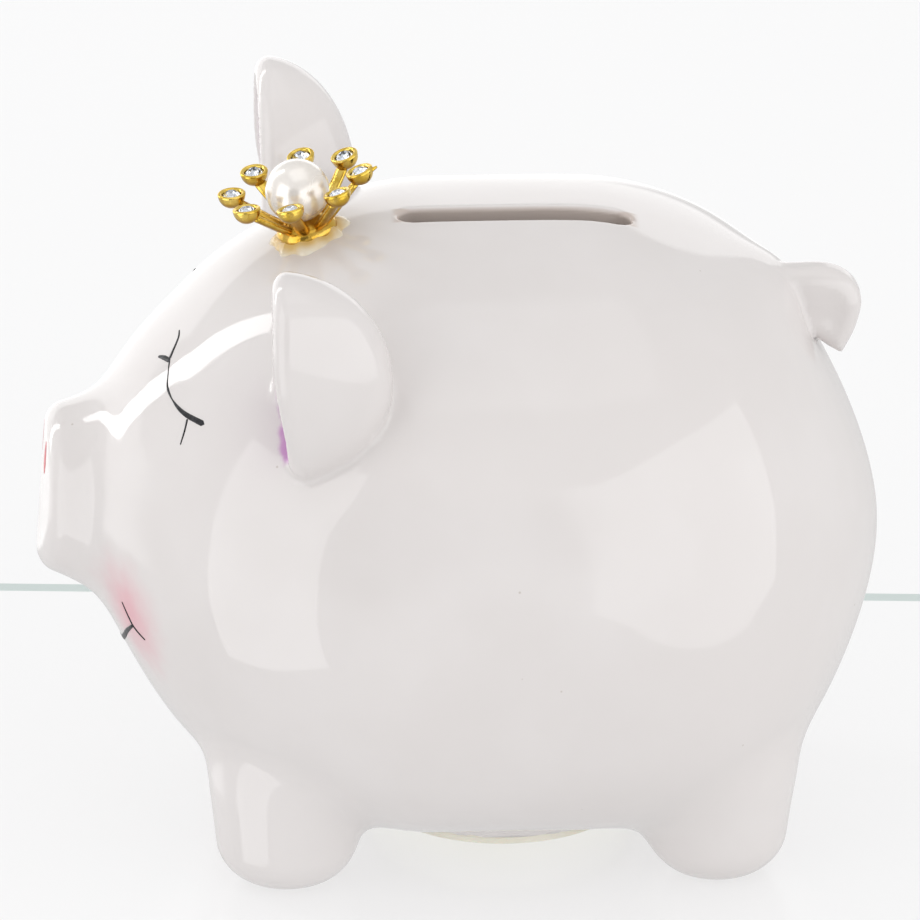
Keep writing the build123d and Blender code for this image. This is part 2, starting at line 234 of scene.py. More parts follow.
def tail_form(x, y, z):
    """A flap in the middle plane, thick at the root and thin at its drooping tip."""
    distance = np.full(np.shape(y), 1e9)
    sign = np.ones(np.shape(y))
    for a, b in zip(TAIL_OUTLINE, np.roll(TAIL_OUTLINE, -1, axis=0)):
        edge = b - a
        t = ((y - a[0]) * edge[0] + (z - a[1]) * edge[1]) / (edge @ edge)
        t = np.clip(t, 0.0, 1.0)
        distance = np.minimum(distance, np.hypot(y - a[0] - t * edge[0], z - a[1] - t * edge[1]))
        above, below = z >= a[1], z < b[1]
        left = edge[0] * (z - a[1]) > edge[1] * (y - a[0])
        crossed = (above & below & left) | (~above & ~below & ~left)
        sign = np.where(crossed, -sign, sign)
    dished = 0.5 * np.exp(-((y - 58.5) ** 2 + (z - 84.5) ** 2) / 9.0)
    thickness = np.abs(x) - (3.1 - dished - 0.09 * np.clip(86.0 - z, 0.0, None))
    return round_max(distance * sign, thickness, 2.4)


def skin_form(x, y, z, trunk=None):
    """The outer skin, without the openings."""
    if trunk is None:
        trunk = trunk_form(x, y, z)
    f = blend_min(trunk, snout_form(x, y, z), 5.0)
    f = blend_min(f, legs_form(x, y, z), 7.0)
    f = blend_min(f, ear_form(x, y, z), 2.2)
    return blend_min(f, tail_form(x, y, z), 1.2)


def bank_form(x, y, z):
    """The hollow casting with its coin slot and base hole."""
    trunk = trunk_form(x, y, z)
    f = np.maximum(skin_form(x, y, z, trunk), -(trunk + WALL))
    from_hole = np.hypot(x, y - HOLE_Y)
    collar = round_max(from_hole - RECESS_RADIUS - 0.5, np.abs(z - RECESS_TOP - 2.1) - 2.1, 0.6)
    f = blend_min(f, collar, 1.0)
    recess = round_max(from_hole - RECESS_RADIUS, z - RECESS_TOP, 0.5)
    f = round_max(f, -recess, 0.9)
    hole = np.maximum(from_hole - HOLE_RADIUS, z - 20.0)
    f = round_max(f, -hole, 0.7)
    along = np.clip(np.abs(y - SLOT[0]) - SLOT[1], 0.0, None)
    slot = np.maximum(np.hypot(x, along) - SLOT[2], CENTRE_Z - z)
    return round_max(f, -slot, 0.9)


def graded(low, high, step, fine=()):
    """Grid levels from low to high, closer together inside the fine ranges."""
    levels = [low]
    while levels[-1] < high:
        here = levels[-1]
        pace = step
        for start, end, small in fine:
            if start - step < here < end:
                pace = min(pace, small)
        levels.append(here + pace)
    return np.array(levels)


def net(form, xs, ys, zs):
    """Quads around the zero level of a form on a grid."""
    shape = (len(xs), len(ys), len(zs))
    values = np.empty(shape, np.float32)
    for i in range(0, shape[0], 12):
        values[i : i + 12] = form(*np.meshgrid(xs[i : i + 12], ys, zs, indexing="ij"))
    inside = values < 0.0
    count = np.zeros([n - 1 for n in shape], np.int8)
    corners = [(a, b, c) for a in (0, 1) for b in (0, 1) for c in (0, 1)]
    for a, b, c in corners:
        count += inside[a : shape[0] - 1 + a, b : shape[1] - 1 + b, c : shape[2] - 1 + c]
    active = (count > 0) & (count < 8)
    cells = np.argwhere(active)
    index = np.full(active.shape, -1, np.int64)
    index[tuple(cells.T)] = np.arange(len(cells))
    total, crossings = np.zeros((len(cells), 3)), np.zeros(len(cells))
    for corner in corners:
        for axis in range(3):
            if corner[axis]:
                continue
            other = list(corner)
            other[axis] = 1
            near = values[tuple((cells + corner).T)]
            far = values[tuple((cells + other).T)]
            cut = (near < 0) != (far < 0)
            place = np.tile(np.array(corner, float), (len(cells), 1))
            place[:, axis] += near / np.where(cut, near - far, 1.0)
            total[cut] += place[cut]
            crossings += cut
    local = total / crossings[:, None]
    points = np.empty((len(cells), 3))
    for axis, levels in enumerate((xs, ys, zs)):
        start = levels[cells[:, axis]]
        points[:, axis] = start + local[:, axis] * (levels[cells[:, axis] + 1] - start)
    quads = []
    for axis in range(3):
        near, far = [slice(None)] * 3, [slice(None)] * 3
        near[axis], far[axis] = slice(0, -1), slice(1, None)
        crossed = np.argwhere(inside[tuple(near)] != inside[tuple(far)])
        p, q = [k for k in range(3) if k != axis]

        def ring(back_p, back_q):
            moved = crossed.copy()
            moved[:, p] -= back_p
            moved[:, q] -= back_q
            return index[tuple(moved.T)]

        quad = np.stack([ring(1, 1), ring(0, 1), ring(0, 0), ring(1, 0)], axis=1)
        leaves = inside[tuple(crossed.T)]
        flip = leaves if axis == 1 else ~leaves
        quad[flip] = quad[flip][:, ::-1]
        quads.append(quad)
    return points, np.concatenate(quads)


def gradient(form, points, step=0.05):
    x, y, z = points.T
    slope = np.stack(
        [
            form(x + step, y, z) - form(x - step, y, z),
            form(x, y + step, z) - form(x, y - step, z),
            form(x, y, z + step) - form(x, y, z - step),
        ],
        axis=1,
    )
    return slope / (2.0 * step)


def settle(form, points, rounds=3, reach=0.6):
    """Moves points onto a form's surface; also returns their normals."""
    for _ in range(rounds):
        slope = gradient(form, points)
        value = form(*points.T)
        move = -slope * (value / np.maximum((slope**2).sum(axis=1), 0.05))[:, None]
        size = np.maximum(np.linalg.norm(move, axis=1), 1e-9)
        points = points + move * np.minimum(1.0, reach / size)[:, None]
    slope = gradient(form, points)
    return points, slope / np.maximum(np.linalg.norm(slope, axis=1), 1e-9)[:, None]


# ------------------------------------------------------------------ materials
def new_material(name):
    """A node material, its tree and its Principled shader."""
    material = bpy.data.materials.new(name)
    material.use_nodes = True
    tree = material.node_tree
    shader = next(n for n in tree.nodes if n.type == "BSDF_PRINCIPLED")
    return material, tree, shader


def add_node(tree, kind, inputs=None, **settings):
    """Adds a node; inputs are constants or sockets to link."""
    node = tree.nodes.new(kind)
    for key, value in settings.items():
        setattr(node, key, value)
    for key, value in (inputs or {}).items():
        if isinstance(value, bpy.types.NodeSocket):
            tree.links.new(value, node.inputs[key])
        else:
            node.inputs[key].default_value = value
    return node


def mix_colour(tree, factor, first, second):
    node = add_node(tree, "ShaderNodeMix", data_type="RGBA")
    for socket, value in ((0, factor), (6, first), (7, second)):
        if isinstance(value, bpy.types.NodeSocket):
            tree.links.new(value, node.inputs[socket])
        else:
            node.inputs[socket].default_value = value
    return node.outputs[2]


def spread(tree, value, low, high, start=0.0, end=1.0):
    """Maps a value from low..high to start..end, smoothly and clamped."""
    node = add_node(
        tree,
        "ShaderNodeMapRange",
        {"Value": value, "From Min": low, "From Max": high, "To Min": start, "To Max": end},
        interpolation_type="SMOOTHSTEP",
    )
    return node.outputs["Result"]


def noise(tree, place, scale, detail=2.0, roughness=0.5):
    inputs = {"Vector": place, "Scale": scale, "Detail": detail, "Roughness": roughness}
    return add_node(tree, "ShaderNodeTexNoise", inputs).outputs["Fac"]


def multiply(tree, first, second):
    node = add_node(tree, "ShaderNodeMath", {0: first, 1: second}, operation="MULTIPLY")
    return node.outputs[0]


def from_point(tree, place, centre, scale):
    """Distance of the place from a centre, with each direction scaled."""
    node = add_node(tree, "ShaderNodeVectorMath", {0: place, 1: centre}, operation="SUBTRACT")
    node = add_node(tree, "ShaderNodeVectorMath", {0: node.outputs[0], 1: scale}, operation="MULTIPLY")
    node = add_node(tree, "ShaderNodeVectorMath", {0: node.outputs[0]}, operation="LENGTH")
    return node.outputs["Value"]


def bump(tree, shader, height, strength, distance):
    node = add_node(
        tree, "ShaderNodeBump", {"Height": height, "Strength": strength, "Distance": distance}
    )
    tree.links.new(node.outputs["Normal"], shader.inputs["Normal"])
    return node


def clouded(tree, place, scale, detail, low, high, first, second):
    """A colour that drifts between two tones."""
    return mix_colour(tree, spread(tree, noise(tree, place, scale, detail), low, high), first, second)


def glaze_material():
    """White earthenware under clear glaze, with sprayed blush, painted ears and painted shade inside the
    coin slot.
    """
    material, tree, shader = new_material("white_glaze")
    place = add_node(tree, "ShaderNodeTexCoord").outputs["Object"]
    mirrored = add_node(tree, "ShaderNodeVectorMath", {0: place}, operation="ABSOLUTE").outputs[0]
    parts = add_node(tree, "ShaderNodeSeparateXYZ", {0: place})
    side = add_node(tree, "ShaderNodeSeparateXYZ", {0: mirrored})
    folded = add_node(
        tree,
        "ShaderNodeCombineXYZ",
        {0: side.outputs[0], 1: parts.outputs[1], 2: parts.outputs[2]},
    ).outputs[0]
    pale, paler = (0.732, 0.697, 0.685, 1), (0.757, 0.724, 0.714, 1)
    tone = clouded(tree, place, 38.0, 3.0, 0.35, 0.7, pale, paler)
    cheek = from_point(tree, folded, (0.0212, -0.0520, 0.0434), (90.0, 84.0, 84.0))
    ragged = add_node(
        tree,
        "ShaderNodeMath",
        {0: cheek, 1: multiply(tree, noise(tree, place, 260.0), 0.35)},
        operation="ADD",
    ).outputs[0]
    tone = mix_colour(tree, spread(tree, ragged, 1.25, 0.1, 0.0, 0.78), tone, (0.76, 0.34, 0.40, 1))
    painted = add_node(tree, "ShaderNodeAttribute", attribute_name="ear_paint").outputs["Fac"]
    uneven = multiply(tree, painted, spread(tree, noise(tree, place, 150.0), 0.25, 0.6, 0.6, 0.95))
    tone = mix_colour(tree, uneven, tone, (0.56, 0.27, 0.55, 1))
    # painted shade: the glaze is darkened and warmed inside the coin slot, where shade falls
    along_slot = from_point(tree, place, (0.0, 0.009, 0.0), (0.0, 1.0, 0.0))
    slot_shade = multiply(
        tree, spread(tree, side.outputs[0], 0.0030, 0.0024), spread(tree, along_slot, 0.0195, 0.0182)
    )
    slot_shade = multiply(tree, slot_shade, spread(tree, parts.outputs[2], 0.080, 0.090))
    tone = mix_colour(tree, slot_shade, tone, (0.60, 0.52, 0.475, 1))
    cells = add_node(tree, "ShaderNodeTexVoronoi", {"Vector": place, "Scale": 170.0})
    # a few pinholes: a dot in one cell out of three
    draw = add_node(tree, "ShaderNodeSeparateColor", {0: cells.outputs["Color"]}).outputs[0]
    dot = spread(tree, cells.outputs["Distance"], 0.045, 0.02)
    speck = multiply(tree, dot, spread(tree, draw, 0.68, 0.70, 0.0, 0.38))
    tone = mix_colour(tree, speck, tone, (0.34, 0.27, 0.2, 1))
    tree.links.new(tone, shader.inputs["Base Color"])
    sheen = spread(tree, noise(tree, place, 420.0, 3.0), 0.3, 0.7, 0.035, 0.07)
    tree.links.new(sheen, shader.inputs["Roughness"])
    shader.inputs["IOR"].default_value = 1.52
    swell = noise(tree, place, 42.0, 1.5, 0.45)
    on_face = spread(tree, parts.outputs[1], -0.034, -0.046)
    modelled = multiply(tree, noise(tree, place, 150.0, 1.0, 0.4), on_face)
    relief = add_node(tree, "ShaderNodeMath", {0: modelled, 1: 0.45, 2: swell}, operation="MULTIPLY_ADD")
    bump(tree, shader, relief.outputs[0], 1.0, 0.00022)
    return material


def enamel_material(name, dark, thin, roughness=0.32):
    """Brushed enamel whose colour thins out in streaks."""
    material, tree, shader = new_material(name)
    place = add_node(tree, "ShaderNodeTexCoord").outputs["Object"]
    tone = clouded(tree, place, 900.0, 3.0, 0.45, 0.75, dark, thin)
    tree.links.new(tone, shader.inputs["Base Color"])
    shader.inputs["Roughness"].default_value = roughness
    shader.inputs["Specular IOR Level"].default_value = 0.2
    bump(tree, shader, noise(tree, place, 1600.0), 0.4, 0.00005)
    return material


def gold_material():
    """Gold plating with painted shade: darker on its underside and towards the crown's foot."""
    material, tree, shader = new_material("gold_plating")
    place = add_node(tree, "ShaderNodeTexCoord").outputs["Object"]
    tone = clouded(tree, place, 500.0, 4.0, 0.3, 0.7, (0.66, 0.43, 0.05, 1), (0.90, 0.66, 0.17, 1))
    # painted shade: the gold is darkened on faces turned downwards
    facing = add_node(tree, "ShaderNodeNewGeometry").outputs["Normal"]
    upright = add_node(tree, "ShaderNodeSeparateXYZ", {0: facing}).outputs[2]
    tone = mix_colour(tree, spread(tree, upright, -0.1, -0.7, 0.0, 0.8), tone, (0.30, 0.15, 0.02, 1))
    # painted shade: darker brown towards the crown's foot, where it meets the glue and the body
    foot = tuple(float(v) for v in GLUE_MIDDLE * MM)
    low = spread(tree, from_point(tree, place, foot, (1.0, 1.0, 1.0)), 0.0085, 0.0045, 0.0, 0.55)
    tone = mix_colour(tree, low, tone, (0.50, 0.24, 0.02, 1))
    tree.links.new(tone, shader.inputs["Base Color"])
    shader.inputs["Metallic"].default_value = 1.0
    rough = spread(tree, noise(tree, place, 1300.0, 3.0), 0.3, 0.75, 0.10, 0.26)
    tree.links.new(rough, shader.inputs["Roughness"])
    bump(tree, shader, noise(tree, place, 1100.0, 3.0), 0.5, 0.00012)
    return material


def pearl_material():
    """Nacre lacquer: cream, slightly cloudy, under a clear coat."""
    material, tree, shader = new_material("pearl_lacquer")
    place = add_node(tree, "ShaderNodeTexCoord").outputs["Object"]
    tone = clouded(tree, place, 110.0, 1.0, 0.35, 0.65, (0.86, 0.80, 0.73, 1), (0.90, 0.86, 0.82, 1))
    tree.links.new(tone, shader.inputs["Base Color"])
    rough = spread(tree, noise(tree, place, 160.0, 1.0), 0.3, 0.7, 0.20, 0.28)
    tree.links.new(rough, shader.inputs["Roughness"])
    shader.inputs["Metallic"].default_value = 0.35
    shader.inputs["Coat Weight"].default_value = 0.8
    shader.inputs["Coat Roughness"].default_value = 0.08
    bump(tree, shader, noise(tree, place, 260.0, 1.0), 0.25, 0.00005)
    return material


def crystal_material():
    """Clear cut glass, a little blue and faintly scuffed."""
    material, tree, shader = new_material("cut_glass")
    place = add_node(tree, "ShaderNodeTexCoord").outputs["Object"]
    tone = clouded(tree, place, 800.0, 2.0, 0.3, 0.7, (0.97, 0.98, 1.0, 1), (0.90, 0.94, 1.0, 1))
    tree.links.new(tone, shader.inputs["Base Color"])
    rough = spread(tree, noise(tree, place, 2500.0), 0.5, 0.8, 0.0, 0.04)
    tree.links.new(rough, shader.inputs["Roughness"])
    shader.inputs["IOR"].default_value = 1.56
    shader.inputs["Transmission Weight"].default_value = 1.0
    return material


def foil_material():
    """The mirror coat on the back of a rhinestone."""
    material, tree, shader = new_material("silver_foil")
    place = add_node(tree, "ShaderNodeTexCoord").outputs["Object"]
    tone = clouded(tree, place, 1500.0, 2.0, 0.3, 0.7, (0.80, 0.81, 0.83, 1), (0.95, 0.95, 0.96, 1))
    tree.links.new(tone, shader.inputs["Base Color"])
    shader.inputs["Metallic"].default_value = 1.0
    shader.inputs["Roughness"].default_value = 0.08
    return material


def glue_material():
    """Hardened clear glue, amber near the crown's foot."""
    material, tree, shader = new_material("clear_glue")
    place = add_node(tree, "ShaderNodeTexCoord").outputs["Object"]
    foot = tuple(float(v) for v in GLUE_MIDDLE * MM)
    tone = clouded(tree, place, 420.0, 3.0, 0.3, 0.7, (0.90, 0.80, 0.61, 1), (0.94, 0.88, 0.76, 1))
    away = from_point(tree, place, foot, (1.0, 1.0, 1.0))
    tone = mix_colour(tree, spread(tree, away, 0.0067, 0.0050), tone, (0.80, 0.56, 0.21, 1))
    tree.links.new(tone, shader.inputs["Base Color"])
    shader.inputs["Roughness"].default_value = 0.12
    shader.inputs["IOR"].default_value = 1.48
    shader.inputs["Transmission Weight"].default_value = 0.15
    bump(tree, shader, noise(tree, place, 520.0, 3.0), 0.6, 0.0002)
    return material


def plug_material():
    """Soft milky vinyl with a fine moulded grain."""
    material, tree, shader = new_material("soft_vinyl")
    place = add_node(tree, "ShaderNodeTexCoord").outputs["Object"]
    tone = clouded(tree, place, 60.0, 4.0, 0.3, 0.7, (0.80, 0.77, 0.64, 1), (0.86, 0.84, 0.74, 1))
    tree.links.new(tone, shader.inputs["Base Color"])
    rough = spread(tree, noise(tree, place, 700.0, 3.0), 0.3, 0.7, 0.36, 0.5)
    tree.links.new(rough, shader.inputs["Roughness"])
    shader.inputs["Subsurface Weight"].default_value = 0.12
    shader.inputs["Subsurface Scale"].default_value = 0.002
    bump(tree, shader, noise(tree, place, 1500.0, 2.0), 0.3, 0.00005)
    return material


GLAZE = glaze_material()
INK = enamel_material("black_enamel", (0.012, 0.012, 0.014, 1), (0.06, 0.06, 0.07, 1))
ROSE = enamel_material("rose_enamel", (0.60, 0.10, 0.12, 1), (0.78, 0.28, 0.30, 1))
GOLD = gold_material()
PEARL = pearl_material()
CRYSTAL = crystal_material()
FOIL = foil_material()
GLUE = glue_material()
PLUG = plug_material()


# ------------------------------------------------------------------ mesh helpers
def make_piece(name, points, faces, material, body, slot, nodes=(), normals=None, flat=False):
    """A mesh piece from points in millimetres, riding on a CAD body."""
    mesh = bpy.data.meshes.new(name)
    mesh.from_pydata((np.asarray(points) * MM).tolist(), [], [list(f) for f in faces])
    mesh.materials.append(material)
    mesh.polygons.foreach_set("use_smooth", [not flat] * len(mesh.polygons))
    mesh.update()
    if normals is not None:
        mesh.normals_split_custom_set_from_vertices(np.asarray(normals).tolist())
    piece = bpy.data.objects.new(name, mesh)
    bpy.context.scene.collection.objects.link(piece)
    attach(piece, body)
    if nodes:
        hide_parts(*nodes)
    return piece


def joined(parts):
    """Several (points, faces) as one."""
    points, faces, start = [], [], 0
    for part_points, part_faces in parts:
        points.append(np.asarray(part_points, float))
        faces += [tuple(i + start for i in face) for face in part_faces]
        start += len(part_points)
    return np.concatenate(points), faces


def placed(points, origin, x_axis, z_axis):
    """Local points moved to an origin with the given local x and z axes."""
    z_axis = z_axis / np.linalg.norm(z_axis)
    x_axis = x_axis - z_axis * (x_axis @ z_axis)
    x_axis = x_axis / np.linalg.norm(x_axis)
    turn = np.stack([x_axis, np.cross(z_axis, x_axis), z_axis])
    return np.asarray(points) @ turn + origin


def lathe(profile, sides=64):
    """A closed solid of revolution about z; the profile starts and ends on the axis."""
    profile = np.asarray(profile, float)
    rim = profile[1:-1]
    points = [(0.0, 0.0, profile[0, 1])]
    for radius, height in rim:
        for k in range(sides):
            angle = 2.0 * pi * k / sides
            points.append((radius * cos(angle), radius * sin(angle), height))
    points.append((0.0, 0.0, profile[-1, 1]))
    faces = []
    for k in range(sides):
        after = (k + 1) % sides
        faces.append((0, 1 + after, 1 + k))
        for row in range(len(rim) - 1):
            a, b = 1 + row * sides, 1 + (row + 1) * sides
            faces.append((a + k, a + after, b + after, b + k))
        last = 1 + (len(rim) - 1) * sides
        faces.append((last + k, last + after, len(points) - 1))
    return points, faces


def rounded(corners, radius, steps=4):
    """An open profile with its inner corners rounded."""
    corners = np.asarray(corners, float)
    out = [corners[0]]
    for before, here, after in zip(corners[:-2], corners[1:-1], corners[2:]):
        a, b = before - here, after - here
        length_a, length_b = np.linalg.norm(a), np.linalg.norm(b)
        reach = min(radius, 0.45 * length_a, 0.45 * length_b)
        a, b = here + a / length_a * reach, here + b / length_b * reach
        for k in range(steps + 1):
            t = k / steps
            out.append((1 - t) ** 2 * a + 2 * t * (1 - t) * here + t * t * b)
    out.append(corners[-1])
    return np.array(out)


def swept(path, widths, heights, sides=12, square=3.0, up=(0, 0, 1)):
    """A bar along a path with a rounded-rectangle section, closed by flat ends."""
    path = np.asarray(path, float)
    tangents = np.gradient(path, axis=0)
    points, faces = [], []
    up = np.asarray(up, float)
    for centre, tangent, width, height in zip(path, tangents, widths, heights):
        tangent = tangent / np.linalg.norm(tangent)
        side = np.cross(tangent, up)
        side /= np.linalg.norm(side)
        lift = np.cross(side, tangent)
        for k in range(sides):
            angle = 2.0 * pi * (k + 0.5) / sides
            c, s = cos(angle), sin(angle)
            reach = (abs(c) ** square + abs(s) ** square) ** (-1.0 / square)
            points.append(centre + side * (0.5 * width * reach * c) + lift * (0.5 * height * reach * s))
    rows = len(path)
    for row in range(rows - 1):
        for k in range(sides):
            after = (k + 1) % sides
            a, b = row * sides, (row + 1) * sides
            faces.append((a + k, a + after, b + after, b + k))
    faces.append(tuple(range(sides))[::-1])
    faces.append(tuple((rows - 1) * sides + k for k in range(sides)))
    return points, faces


# ------------------------------------------------------------------ the glazed pig
# grids are finer at the slot, ears, snout, tail and soles
xs = graded(-54.5, 54.5, 1.15, [(-4.0, 4.0, 0.4), (-53, -29, 0.75), (29, 53, 0.75)])
near_y = [(-32.5, -26.5, 0.4), (-67.5, -58, 0.8), (24.0, 30.0, 0.5), (-12, -6, 0.5), (51, 64, 0.7)]
ys = graded(-67.5, 68.5, 1.15, near_y)
zs = graded(-1.5, 112.5, 1.15, [(-1.5, 9.5, 0.6), (75.5, 93.0, 0.75), (96.0, 103.0, 0.4)])
points, quads = net(bank_form, xs, ys, zs)
points, normals = settle(bank_form, points)
pig = make_piece(
    "glazed_pig",
    points,
    quads.tolist(),
    GLAZE,
    "bank",
    "glaze",
    ("body_shell", "ear_left", "ear_right", "tail"),
    normals,
)
x, y, z = points.T
in_scoop = ease(1.0 - ear_scoop(x, y, z) * 10.0) * ease((100.0 - z) / 9.0)
in_scoop *= np.where(x > 0.0, 1.0, ease((3.0 - ear_coordinates(x, y, z)[0]) / 2.0))
in_scoop *= ease((y + 29.3 + 0.4 * np.sin(1.9 * z) * np.sin(0.7 * z + 1.0)) / 0.8)
paint = pig.data.attributes.new("ear_paint", "FLOAT", "POINT")
paint.data.foreach_set("value", in_scoop.astype(np.float32))


# ------------------------------------------------------------------ painted lines
def ribbon(path, widths, height=0.1, across=7):
    """A thin raised stroke that lies on the pig's skin, with round ends."""
    path, up = settle(skin_form, np.asarray(path, float), 9)
    length = np.concatenate([[0], np.cumsum(np.linalg.norm(np.diff(path, axis=0), axis=1))])
    tangents = np.gradient(path, axis=0)
    tangents -= up * (tangents * up).sum(axis=1)[:, None]
    tangents /= np.linalg.norm(tangents, axis=1)[:, None]
    sides = np.cross(up, tangents)
    half = 0.5 * np.asarray(widths, float)
    ends = np.minimum(length, length[-1] - length)
    cap = np.sqrt(np.clip(1.0 - (1.0 - np.clip(ends / np.maximum(half, 1e-6), 0, 1)) ** 2, 0.0004, 1))
    half = half * cap
    offsets = np.linspace(-1.0, 1.0, across)
    sheet = path[:, None, :] + sides[:, None, :] * (half[:, None] * offsets)[:, :, None]
    flat = sheet.reshape(-1, 3)
    flat, lift = settle(skin_form, flat, 5)
    rise = (height * cap[:, None] * np.sqrt(1.0 - 0.96 * offsets**2)[None, :]).reshape(-1, 1)
    top = flat + lift * (rise + 0.015)
    bottom = flat - lift * 0.15
    rows, count = len(path), len(path) * across
    points = np.concatenate([top, bottom])
    faces = []
    for r in range(rows - 1):
        for c in range(across - 1):
            a = r * across + c
            quad = (a, a + 1, a + across + 1, a + across)
            faces.append(quad[::-1])
            faces.append(tuple(i + count for i in quad))
        for c, kept in ((0, False), (across - 1, True)):
            a = r * across + c
            quad = (a, a + across, a + across + count, a + count)
            faces.append(quad if kept else quad[::-1])
    for r, kept in ((0, True), (rows - 1, False)):
        for c in range(across - 1):
            a = r * across + c
            quad = (a, a + 1, a + 1 + count, a + count)
            faces.append(quad if kept else quad[::-1])
    return points, faces


def stroke(points, widths, samples=48, height=0.1):
    """A brushed line through the points; the widths are spread evenly along it."""
    t = np.linspace(0.0, 1.0, samples)
    widths = np.interp(t, np.linspace(0.0, 1.0, len(widths)), widths)
    return ribbon(smooth_curve(points, samples), widths, height)


def mirrored(points, side):
    """The same points on the left (1) or right (-1) side."""
    return [(side * a, b, c) for a, b, c in points]


HEAD_AXIS_Y = -10.0


def turned(points, angle):
    """Points carried round the head, about an upright axis through its middle."""
    c, s = cos(angle), sin(angle)
    out = []
    for across, ahead, height in points:
        ahead -= HEAD_AXIS_Y
        out.append((across * c + ahead * s, ahead * c - across * s + HEAD_AXIS_Y, height))
    return out


LID = [
    (11.6, -45.1, 82.5),
    (14.2, -45.4, 81.1),
    (16.5, -45.6, 79.8),
    (19.7, -44.8, 78.8),
    (23.2, -43.2, 78.2),
    (27.7, -40.3, 78.2),
]
EYE_LINES = [
    # lid, then the lashes at its inner end and the one under it
    (LID, (0.4, 0.16, 0.16, 0.45, 0.2, 0.6, 0.85, 0.95)),
    ([(11.5, -45.1, 82.5), (8.8, -43.7, 84.7), (6.9, -43.4, 85.4)], (0.6, 0.4, 0.22)),
    ([(11.9, -45.1, 82.4), (10.0, -45.9, 82.1), (8.5, -46.7, 81.7)], (0.8, 0.8, 0.4)),
    ([(24.4, -42.8, 77.8), (25.5, -43.3, 76.1), (26.4, -44.0, 74.3)], (0.42, 0.34, 0.22)),
]
SMILE = [
    (21.0, -51.3, 41.7),
    (17.3, -52.0, 39.3),
    (13.5, -52.4, 36.8),
    (8.0, -52.4, 34.4),
    (0.0, -52.3, 33.4),
]
DIMPLE = [
    (19.8, -52.9, 45.3),
    (20.5, -52.0, 43.3),
    (21.2, -51.3, 41.8),
    (22.5, -50.4, 41.0),
    (24.0, -49.4, 40.5),
]

FAR_EYE_TURN = 0.295  # the right eye is painted further round the head

for side, name in ((1, "left"), (-1, "right")):
    around = 0.0 if side > 0 else FAR_EYE_TURN
    lines = [stroke(turned(mirrored(path, side), around), widths) for path, widths in EYE_LINES]
    make_piece(f"eye_lines_{name}", *joined(lines), INK, "bank", "glaze")
    line = stroke(mirrored(DIMPLE, side), (0.22, 0.5, 0.45, 0.25))
    make_piece(f"dimple_line_{name}", *line, INK, "bank", "glaze")
    nostril_x = 4.2 if side > 0 else -5.4
    nostril = [(nostril_x, -64.5, 60.4), (0.94 * nostril_x, -64.5, 63.1), (nostril_x, -64.5, 65.8)]
    line = stroke(nostril, (1.1, 2.4, 1.9, 0.9), height=0.03)
    make_piece(f"nostril_{name}", *line, ROSE, "bank", "glaze")
whole_smile = mirrored(SMILE, 1) + mirrored(SMILE, -1)[-2::-1]
t = np.linspace(-1.0, 1.0, 120)
smile = ribbon(smooth_curve(whole_smile, 120), 0.5 + 0.5 * (1.0 - np.abs(t) ** 3))
make_piece("smile_line", *smile, INK, "bank", "glaze")

# ------------------------------------------------------------------ crown
CROWN_TILT = radians(13.0)
pearl_low, pearl_high = box_mm("pearl")
pearl_centre = 0.5 * (pearl_low + pearl_high)
PEARL_HEIGHT = 7.2
crown_axis = np.array([0.0, -sin(CROWN_TILT), cos(CROWN_TILT)])
crown_rear = np.array([0.0, cos(CROWN_TILT), sin(CROWN_TILT)])
crown_foot = pearl_centre - crown_axis * PEARL_HEIGHT
crown_side = np.cross(crown_axis, crown_rear)


def crown_point(angle, radius, height):
    outward = crown_rear * cos(angle) + crown_side * sin(angle)
    return crown_foot + outward * radius + crown_axis * height


CUP_LEAN = radians(8.0)
CUP_RING = 10.2
CUP_RIM = 8.5
CUP_RADIUS = 2.15
FIRST_ARM = -7.0  # degrees from straight behind
STONES = sorted(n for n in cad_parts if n.startswith("rhinestone"))

foot_corners = [(0, -0.1), (4.75, -0.1), (4.9, 0.7), (4.5, 1.6), (3.3, 2.4), (1.4, 2.8), (0, 2.85)]
peg_profile = [(0, 2.0), (0.6, 2.0), (0.55, PEARL_HEIGHT - 4.5), (0, PEARL_HEIGHT - 4.4)]
gold_parts = []
for profile, count in ((rounded(foot_corners, 0.7), 48), (peg_profile, 16)):
    rows, faces = lathe(profile, count)
    gold_parts.append((placed(rows, crown_foot, crown_rear, crown_axis), faces))

cup_outside = [(0.0, -CUP_RADIUS)]
cup_outside += [(CUP_RADIUS * sin(a), -CUP_RADIUS * cos(a)) for a in np.linspace(0.15, 1.5, 10)]
cup_rim = [(2.2, 0.02), (2.18, 0.2), (2.04, 0.34), (1.84, 0.36), (1.64, 0.27), (1.5, 0.1), (1.46, -0.12)]
cup_profile = cup_outside + cup_rim + [(1.46, -0.3), (0.5, -1.25), (0, -1.3)]

foil_profile = [
    (0, -1.3),
    (0.4, -1.28),
    (1.45, -0.3),
    (1.45, -0.12),
    (1.42, -0.14),
    (0.3, -1.0),
    (0, -1.22),
]


def brilliant(turn):
    """An eight-sided stone: table, crown facets, girdle and pavilion."""
    gem = []
    rings = ((0.8, 0.5, 0.0), (1.14, 0.26, pi / 8), (1.42, 0.0, 0.0), (1.42, -0.12, 0.0))
    for radius, height, shift in rings:
        corners = [turn + shift + pi * k / 4 for k in range(8)]
        gem += [(radius * cos(a), radius * sin(a), height) for a in corners]
    gem.append((0.0, 0.0, -1.15))
    facets = [tuple(range(8))]
    for k in range(8):
        n = (k + 1) % 8
        facets += [(k, 8 + k, n), (8 + k, 16 + k, 16 + n), (n, 8 + k, 16 + n, 8 + n)]
        facets += [(16 + k, 24 + k, 24 + n, 16 + n), (24 + k, 32, 24 + n)]
    return gem, facets


